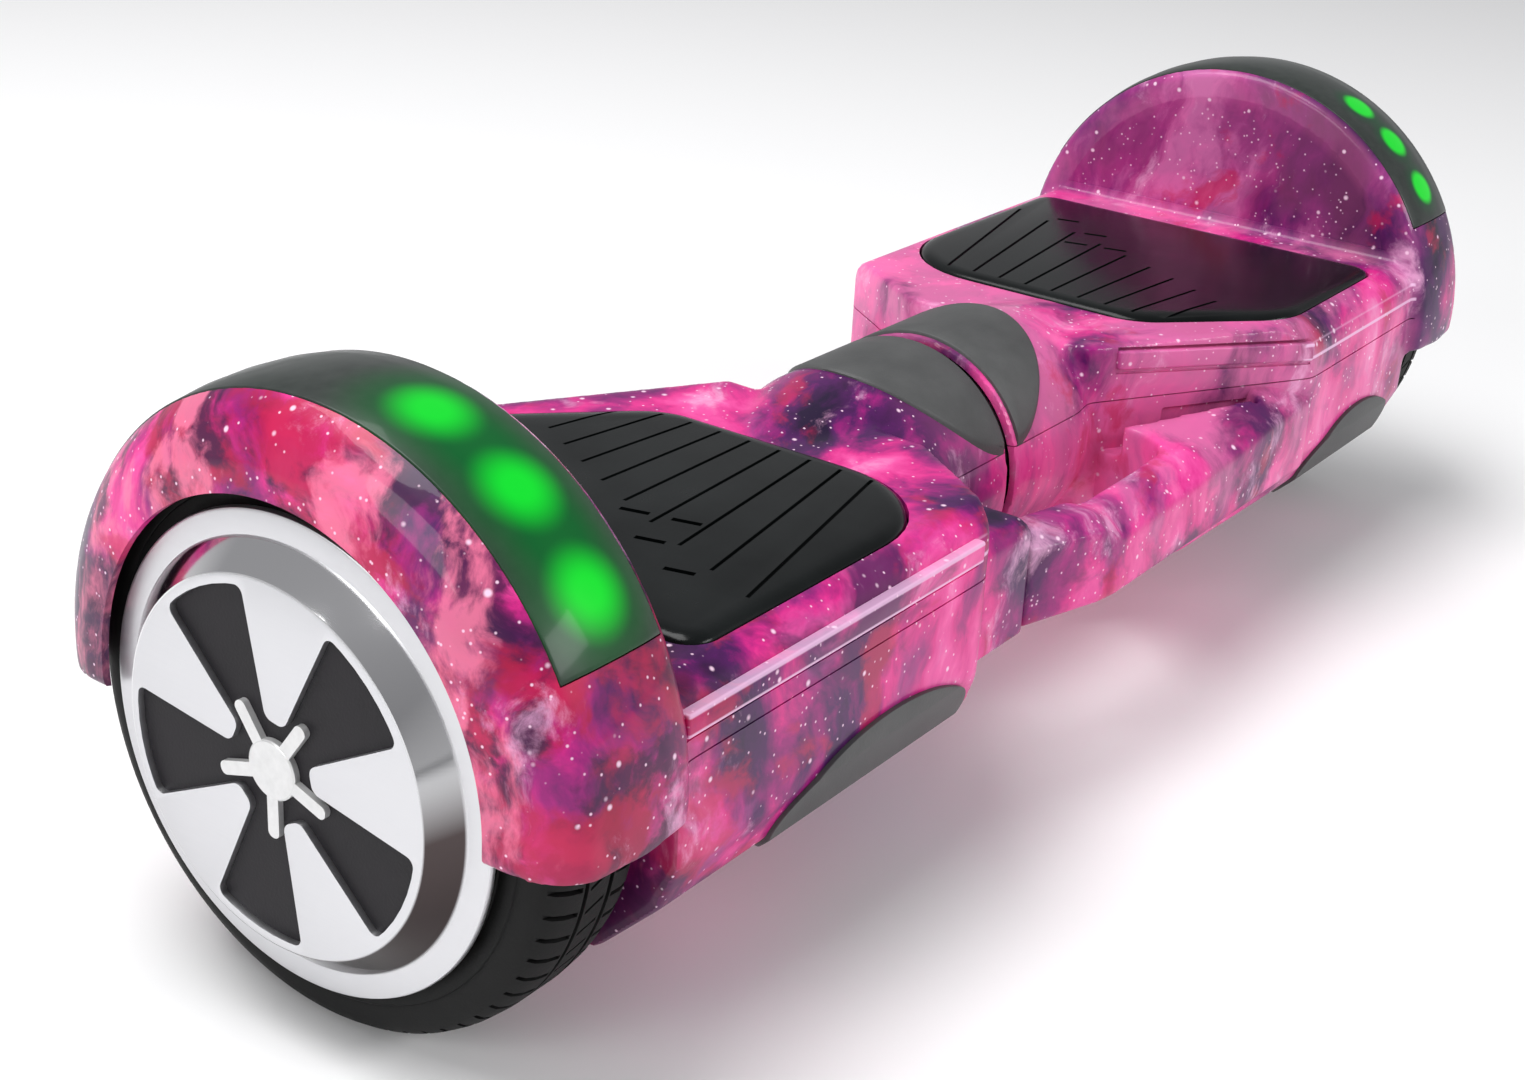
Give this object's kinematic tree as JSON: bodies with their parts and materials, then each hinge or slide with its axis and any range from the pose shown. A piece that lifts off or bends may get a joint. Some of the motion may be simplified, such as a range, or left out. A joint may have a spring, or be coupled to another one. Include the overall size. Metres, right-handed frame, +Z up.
{
  "type": "self-balancing hoverboard",
  "caption": "Two-wheeled self-balancing board in two halves that twist about a middle joint, with hub-motor wheels, foot mats, light bands and a carry handle.",
  "frame": {"origin": "on the floor under the middle of the board, midway between the two wheels", "axes": "+X along the wheel axles to the right, -Y the front (the carry-handle side), +Z up"},
  "size_m": [0.604, 0.19, 0.183],
  "materials": {
    "printed_shell": "pink and violet nebula print under clear gloss lacquer",
    "smoked_lens": "smoked translucent plastic, satin",
    "circuit_board": "green solder mask",
    "grey_trim": "fine matt texture",
    "mat_rubber": "glossy moulded rubber with slanting grooves",
    "cast_aluminium": "as cast",
    "screw_steel": "black oxide",
    "tyre_rubber": "moulded block tread",
    "motor_aluminium": "machined",
    "hubcap_silver": "satin silver with a polished rim wall",
    "black_plastic": "satin",
    "magnet": "nickel plated",
    "motor_steel": "varnished laminations",
    "copper": "enamelled copper wire",
    "shaft_steel": "ground",
    "bronze": "sintered bronze",
    "cable_jacket": "matt sleeve",
    "battery_case": "shrink wrapped",
    "cap_rubber": "matt rubber"
  },
  "bodies": {
    "left_half": {"left_chassis": "cast_aluminium", "left_top_shell": "printed_shell", "left_bottom_shell": "printed_shell", "left_led_lens": "smoked_lens", "left_led_strip": "circuit_board", "left_neck_collar": "grey_trim", "left_gyro_board": "circuit_board", "left_bumpers": "grey_trim", "left_shell_screws": "screw_steel", "left_stator": "motor_steel", "left_windings": "copper", "left_axle": "shaft_steel", "left_axle_clamp": "cast_aluminium", "left_clamp_screws": "screw_steel", "left_motor_cable": "cable_jacket", "pivot_shaft": "shaft_steel", "pivot_circlip": "screw_steel", "link_cable": "cable_jacket", "control_board": "circuit_board", "handle_block": "printed_shell"},
    "right_half": {"right_chassis": "cast_aluminium", "right_top_shell": "printed_shell", "right_bottom_shell": "printed_shell", "right_led_lens": "smoked_lens", "right_led_strip": "circuit_board", "right_neck_collar": "grey_trim", "right_gyro_board": "circuit_board", "right_bumpers": "grey_trim", "right_shell_screws": "screw_steel", "right_stator": "motor_steel", "right_windings": "copper", "right_axle": "shaft_steel", "right_axle_clamp": "cast_aluminium", "right_clamp_screws": "screw_steel", "right_motor_cable": "cable_jacket", "pivot_bushes": "bronze", "battery_pack": "battery_case", "carry_handle": "printed_shell", "charge_socket": "black_plastic"},
    "left_wheel": {"left_tyre": "tyre_rubber", "left_motor_rim": "motor_aluminium", "left_motor_cover": "motor_aluminium", "left_hubcap": "hubcap_silver", "left_hub_disc": "black_plastic", "left_hub_badge": "hubcap_silver", "left_magnets": "magnet", "left_wheel_bearings": "shaft_steel"},
    "right_wheel": {"right_tyre": "tyre_rubber", "right_motor_rim": "motor_aluminium", "right_motor_cover": "motor_aluminium", "right_hubcap": "hubcap_silver", "right_hub_disc": "black_plastic", "right_hub_badge": "hubcap_silver", "right_magnets": "magnet", "right_wheel_bearings": "shaft_steel"},
    "left_mat": {"left_foot_mat": "mat_rubber"},
    "right_mat": {"right_foot_mat": "mat_rubber"},
    "power_button": {"power_button": "black_plastic"},
    "charge_cap": {"charge_cap": "cap_rubber"}
  },
  "joints": [
    {"name": "twist", "type": "hinge", "parent": "left_half", "child": "right_half", "pos_m": [0, 0, 0.082], "axis": [1, 0, 0], "range_deg": [-12, 12]},
    {"name": "left_wheel_spin", "type": "hinge", "parent": "left_half", "child": "left_wheel", "pos_m": [-0.27, 0, 0.084], "axis": [1, 0, 0], "continuous": true},
    {"name": "right_wheel_spin", "type": "hinge", "parent": "right_half", "child": "right_wheel", "pos_m": [0.27, 0, 0.084], "axis": [1, 0, 0], "continuous": true},
    {"name": "left_mat_press", "type": "slide", "parent": "left_half", "child": "left_mat", "axis": [0, 0, -1], "range_m": [0, 0.0015], "stiffness_N_per_m": 6000, "springref_m": -0.001},
    {"name": "right_mat_press", "type": "slide", "parent": "right_half", "child": "right_mat", "axis": [0, 0, -1], "range_m": [0, 0.0015], "stiffness_N_per_m": 6000, "springref_m": -0.001},
    {"name": "button_press", "type": "slide", "parent": "left_half", "child": "power_button", "axis": [0, -1, 0], "range_m": [0, 0.0012], "stiffness_N_per_m": 900, "springref_m": -0.001},
    {"name": "charge_cap_hinge", "type": "hinge", "parent": "right_half", "child": "charge_cap", "pos_m": [0.165, 0.092, 0.0895], "axis": [1, 0, 0], "range_deg": [0, 100]}
  ]
}
